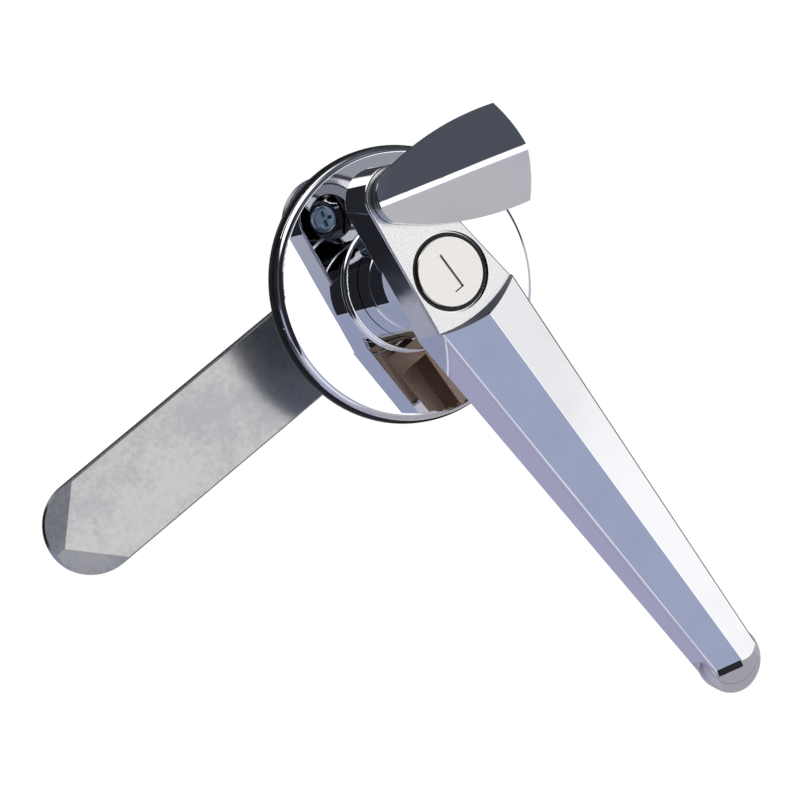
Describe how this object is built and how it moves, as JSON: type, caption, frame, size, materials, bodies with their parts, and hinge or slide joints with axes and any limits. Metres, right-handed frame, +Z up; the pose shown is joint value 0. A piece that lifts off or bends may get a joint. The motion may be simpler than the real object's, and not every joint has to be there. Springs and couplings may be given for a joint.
{
  "type": "swing handle lock",
  "caption": "Lever handle for a cabinet door that turns a flat tongue a quarter turn, with a key cylinder under a swinging dust cover.",
  "frame": {"origin": "on the spindle axis, in the plane of the door's front face (the gasket's rear face)", "axes": "+X to the right as seen from the front, +Y into the door, +Z up; grip down, tongue to the left"},
  "size_m": [0.127, 0.0582, 0.1456],
  "materials": {
    "chrome_casting": "polished chrome on a zinc casting",
    "chrome_plate": "mirror chrome on a zinc casting",
    "chrome_cover": "polished chrome",
    "gasket_rubber": "matt black rubber",
    "zinc_plate": "bright zinc plating",
    "tongue_steel": "satin zinc plating with faint cloudy patches",
    "screw_steel": "blue-white zinc plating",
    "spring_steel": "dark oiled spring steel",
    "cylinder_nickel": "nickel plate with a light satin face",
    "wafer_brass": "stamped brass"
  },
  "bodies": {
    "root": {"door_gasket": "gasket_rubber", "door_plate": "chrome_plate", "fixing_plate": "zinc_plate", "fixing_screws": "screw_steel"},
    "handle": {"handle": "chrome_casting", "cylinder_housing": "cylinder_nickel", "housing_pin": "spring_steel", "thrust_washer": "zinc_plate", "retaining_ring": "spring_steel", "spindle": "zinc_plate", "tongue_spacer": "zinc_plate", "tongue": "tongue_steel", "cam_washer": "screw_steel", "lock_washer": "spring_steel", "cam_screw": "screw_steel"},
    "cover": {"dust_cover": "chrome_cover", "pivot_washer": "spring_steel", "pivot_screw": "screw_steel"},
    "plug": {"cylinder_plug": "cylinder_nickel", "wafers": "wafer_brass", "wafer_springs": "spring_steel", "plug_clip": "spring_steel", "plug_crank": "zinc_plate"},
    "bolt": {"locking_bolt": "zinc_plate"}
  },
  "joints": [
    {"name": "handle_turn", "type": "hinge", "parent": "root", "child": "handle", "pos_m": [0, 0, 0], "axis": [0, -1, 0], "range_deg": [0, 90]},
    {"name": "cover_swing", "type": "hinge", "parent": "handle", "child": "cover", "pos_m": [0, -0.0292, 0.02], "axis": [0, -1, 0], "range_deg": [-73.5, 16.5]},
    {"name": "plug_turn", "type": "hinge", "parent": "handle", "child": "plug", "pos_m": [0, 0, 0], "axis": [0, -1, 0], "range_deg": [0, 90]},
    {"name": "bolt_slide", "type": "slide", "parent": "handle", "child": "bolt", "axis": [0, 0, 1], "range_m": [0, 0.0024]}
  ],
  "couplings": [
    {"joint": "bolt_slide", "follows": "plug_turn", "m_per_rad": 0.0015305}
  ]
}
